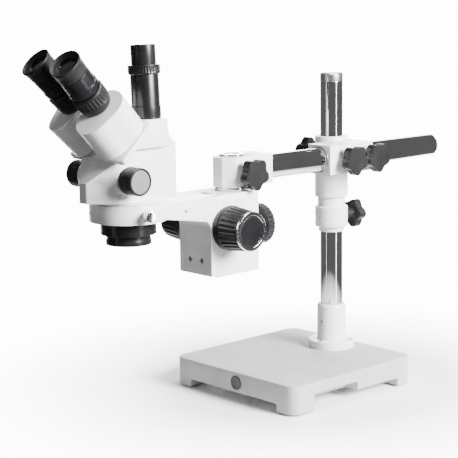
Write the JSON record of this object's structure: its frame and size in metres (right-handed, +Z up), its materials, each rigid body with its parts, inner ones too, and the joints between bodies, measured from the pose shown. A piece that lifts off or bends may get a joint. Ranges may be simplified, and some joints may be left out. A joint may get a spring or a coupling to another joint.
{
  "type": "stereo microscope on boom stand",
  "caption": "Trinocular zoom stereo microscope with inclined eyepieces and vertical photo port, carried by a rack focusing block on a horizontal boom arm above a heavy square base.",
  "frame": {"origin": "on the bench plane, in the middle of the outline of the whole instrument", "axes": "+Z up; +Y from the observer towards the pillar, along the boom arm; +X to the observer's right"},
  "size_m": [0.234, 0.692, 0.4894],
  "materials": {
    "white_paint": "smooth satin white enamel",
    "cast_base": "white enamel on cast iron",
    "black_rubber": "soft matte rubber",
    "black_plastic": "fine-grained black plastic",
    "gloss_black": "semi-gloss black plastic",
    "black_metal": "black anodised",
    "white_alloy": "white enamel on cast aluminium",
    "chrome": "polished chrome plate",
    "steel": "machined steel",
    "bronze": "turned bearing bronze",
    "grey_face": "grey plastic",
    "optical_glass": "coated optical glass"
  },
  "bodies": {
    "stand": {"base_plate": "cast_base", "rubber_feet": "black_rubber", "base_badge": "gloss_black", "pillar_socket": "white_paint", "socket_screws": "steel", "pillar": "chrome", "pillar_cap": "steel"},
    "collar": {"stop_collar": "white_paint", "collar_set_screw": "steel"},
    "collar_knob_body": {"collar_knob": "black_plastic"},
    "clamp": {"cross_clamp": "white_alloy", "arm_bush": "steel"},
    "arm_knob_front_body": {"arm_knob_front": "black_plastic"},
    "arm_knob_rear_body": {"arm_knob_rear": "black_plastic"},
    "pillar_knob_body": {"pillar_knob": "black_plastic"},
    "boom": {"boom_arm": "chrome", "arm_plug": "black_plastic"},
    "boom_end": {"end_clamp": "white_alloy"},
    "end_knob_body": {"end_clamp_knob": "black_plastic"},
    "block": {"focus_block": "white_alloy", "focus_post": "chrome", "post_collars": "chrome", "shaft_bushes": "bronze"},
    "post_knob_body": {"post_knob": "black_plastic"},
    "carriage": {"focus_bracket": "white_alloy", "slide_rack": "steel", "bracket_screws": "steel"},
    "thumbscrew_body": {"ring_thumbscrew": "chrome"},
    "focus_drive": {"focus_knobs": "black_plastic", "focus_knob_rims": "chrome", "focus_knob_caps": "gloss_black", "pinion_shaft": "steel"},
    "head": {"zoom_body": "white_alloy", "head_cover": "white_alloy", "head_screws": "steel", "objective_barrel": "black_metal", "objective_lenses": "optical_glass", "zoom_guide_rods": "steel", "port_base": "black_metal"},
    "zoom_drive": {"zoom_shaft": "steel", "zoom_knobs": "black_plastic", "zoom_knob_caps": "grey_face"},
    "zoom_carriage": {"zoom_carrier": "black_metal", "zoom_lenses": "optical_glass"},
    "port_ring_body": {"port_focus_ring": "black_metal"},
    "port_tube_body": {"port_tube": "black_metal"},
    "channel_right": {"prism_housing_right": "white_alloy", "prism_right": "optical_glass", "eyetube_right": "black_metal"},
    "diopter_right": {"diopter_ring_right": "black_plastic"},
    "ocular_right": {"eyepiece_right": "black_metal", "eyecup_right": "black_rubber"},
    "channel_left": {"prism_housing_left": "white_alloy", "prism_left": "optical_glass", "eyetube_left": "black_metal"},
    "diopter_left": {"diopter_ring_left": "black_plastic"},
    "ocular_left": {"eyepiece_left": "black_metal", "eyecup_left": "black_rubber"}
  },
  "joints": [
    {"name": "collar_height", "type": "slide", "parent": "stand", "child": "collar", "axis": [0, 0, 1], "range_m": [-0.1, 0.07]},
    {"name": "collar_knob_turn", "type": "hinge", "parent": "collar", "child": "collar_knob_body", "pos_m": [0, 0.20318, 0.229], "axis": [0, 1, 0], "range_deg": [-30, 360]},
    {"name": "clamp_swing", "type": "hinge", "parent": "collar", "child": "clamp", "pos_m": [0, 0.17998, 0.3], "axis": [0, 0, 1], "continuous": true},
    {"name": "arm_knob_front_turn", "type": "hinge", "parent": "clamp", "child": "arm_knob_front_body", "pos_m": [0.0625, 0.14298, 0.319], "axis": [1, 0, 0], "range_deg": [-30, 360]},
    {"name": "arm_knob_rear_turn", "type": "hinge", "parent": "clamp", "child": "arm_knob_rear_body", "pos_m": [0.0625, 0.18798, 0.319], "axis": [1, 0, 0], "range_deg": [-30, 360]},
    {"name": "pillar_knob_turn", "type": "hinge", "parent": "clamp", "child": "pillar_knob_body", "pos_m": [-0.0234, 0.17998, 0.318], "axis": [-1, 0, 0], "range_deg": [-30, 360]},
    {"name": "boom_reach", "type": "slide", "parent": "clamp", "child": "boom", "axis": [0, 1, 0], "range_m": [-0.13, 0.1]},
    {"name": "boom_roll", "type": "hinge", "parent": "boom", "child": "boom_end", "pos_m": [0.042, -0.03702, 0.32], "axis": [0, 1, 0], "range_deg": [-45, 45]},
    {"name": "end_knob_turn", "type": "hinge", "parent": "boom_end", "child": "end_knob_body", "pos_m": [0.0625, -0.04502, 0.319], "axis": [1, 0, 0], "range_deg": [-30, 360]},
    {"name": "block_swivel", "type": "hinge", "parent": "boom_end", "child": "block", "pos_m": [0.042, -0.05102, 0.3], "axis": [0, 0, 1], "range_deg": [-90, 45]},
    {"name": "post_knob_turn", "type": "hinge", "parent": "block", "child": "post_knob_body", "pos_m": [0.042, -0.03342, 0.247], "axis": [0, 1, 0], "range_deg": [-30, 360]},
    {"name": "focus_turn", "type": "hinge", "parent": "block", "child": "focus_drive", "pos_m": [0.042, -0.08602, 0.255], "axis": [1, 0, 0], "range_deg": [-240, 240]},
    {"name": "focus_travel", "type": "slide", "parent": "block", "child": "carriage", "axis": [0, 0, 1], "range_m": [-0.025, 0.025]},
    {"name": "thumbscrew_turn", "type": "hinge", "parent": "carriage", "child": "thumbscrew_body", "pos_m": [0.10069, -0.2355, 0.29], "axis": [0.9781, -0.2079, 0], "range_deg": [-30, 360]},
    {"name": "head_rotation", "type": "hinge", "parent": "carriage", "child": "head", "pos_m": [0.042, -0.22302, 0.3], "axis": [0, 0, 1], "continuous": true},
    {"name": "zoom_turn", "type": "hinge", "parent": "head", "child": "zoom_drive", "pos_m": [0.042, -0.25202, 0.333], "axis": [1, 0, 0], "range_deg": [-60, 132]},
    {"name": "zoom_travel", "type": "slide", "parent": "head", "child": "zoom_carriage", "axis": [0, 0, 1], "range_m": [-0.006, 0.0138]},
    {"name": "channel_swing_right", "type": "hinge", "parent": "head", "child": "channel_right", "pos_m": [0.0648, -0.25741, 0.37061], "axis": [0.1045, -0.7032, 0.7032], "range_deg": [-24, 0]},
    {"name": "diopter_turn_right", "type": "hinge", "parent": "channel_right", "child": "diopter_right", "pos_m": [0.06426, -0.29351, 0.43413], "axis": [0.1045, -0.7032, 0.7032], "range_deg": [-125, 125]},
    {"name": "diopter_travel_right", "type": "slide", "parent": "channel_right", "child": "ocular_right", "axis": [0.1045, -0.7032, 0.7032], "range_m": [-0.0025, 0.0025]},
    {"name": "channel_swing_left", "type": "hinge", "parent": "head", "child": "channel_left", "pos_m": [0.0192, -0.25741, 0.37061], "axis": [-0.1045, -0.7032, 0.7032], "range_deg": [0, 24]},
    {"name": "diopter_turn_left", "type": "hinge", "parent": "channel_left", "child": "diopter_left", "pos_m": [0.01974, -0.29351, 0.43413], "axis": [-0.1045, -0.7032, 0.7032], "range_deg": [-125, 125]},
    {"name": "diopter_travel_left", "type": "slide", "parent": "channel_left", "child": "ocular_left", "axis": [-0.1045, -0.7032, 0.7032], "range_m": [-0.0025, 0.0025]},
    {"name": "port_ring_turn", "type": "hinge", "parent": "head", "child": "port_ring_body", "pos_m": [0.06291, -0.21052, 0.46092], "axis": [-0.0523, 0, 0.9986], "range_deg": [0, 180]},
    {"name": "port_tube_travel", "type": "slide", "parent": "head", "child": "port_tube_body", "axis": [-0.0523, 0, 0.9986], "range_m": [0, 0.006]}
  ],
  "couplings": [
    {"joint": "focus_turn", "follows": "focus_travel", "rad_per_m": -166.67},
    {"joint": "zoom_turn", "follows": "zoom_travel", "rad_per_m": 166.67},
    {"joint": "channel_swing_left", "follows": "channel_swing_right", "ratio": -1},
    {"joint": "diopter_turn_right", "follows": "diopter_travel_right", "rad_per_m": 850},
    {"joint": "diopter_turn_left", "follows": "diopter_travel_left", "rad_per_m": 850},
    {"joint": "port_ring_turn", "follows": "port_tube_travel", "rad_per_m": 520}
  ]
}
